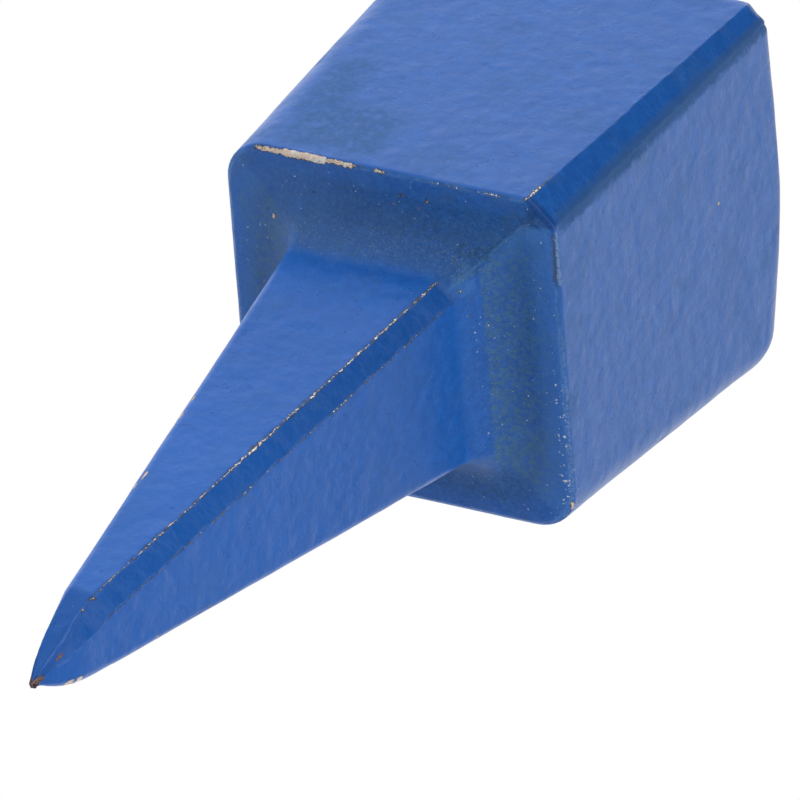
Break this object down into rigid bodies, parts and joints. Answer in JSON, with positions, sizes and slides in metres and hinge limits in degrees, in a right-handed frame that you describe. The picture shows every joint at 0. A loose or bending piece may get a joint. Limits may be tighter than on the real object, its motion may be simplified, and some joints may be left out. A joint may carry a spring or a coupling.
{
  "type": "scythe peening anvil",
  "caption": "Drop-forged, blue-painted peening anvil for scythe blades, with a flared square block, a ground working face, a flat shoulder and a tapered square spike for a log.",
  "frame": {"origin": "on the axis of the anvil, at the shoulder, where it bears on the log", "axes": "+Z along the axis, from the shoulder up to the working face, with the spike down; X and Y square to the sides of the block, with the flash land on the (+X, -Y) and (-X, +Y) edges"},
  "size_m": [0.0444, 0.0444, 0.1255],
  "materials": {
    "ground_steel": "ground flat across one direction inside a painted rim, with small hammer marks",
    "blue_enamel": "satin enamel over forged scale, chipped along the sharp edges of the flash land",
    "worn_enamel": "the same enamel, rubbed thin towards a rusty bare tip"
  },
  "bodies": {
    "root": {"working_face": "ground_steel", "block": "blue_enamel", "spike": "blue_enamel", "spike_point": "worn_enamel"}
  },
  "joints": []
}
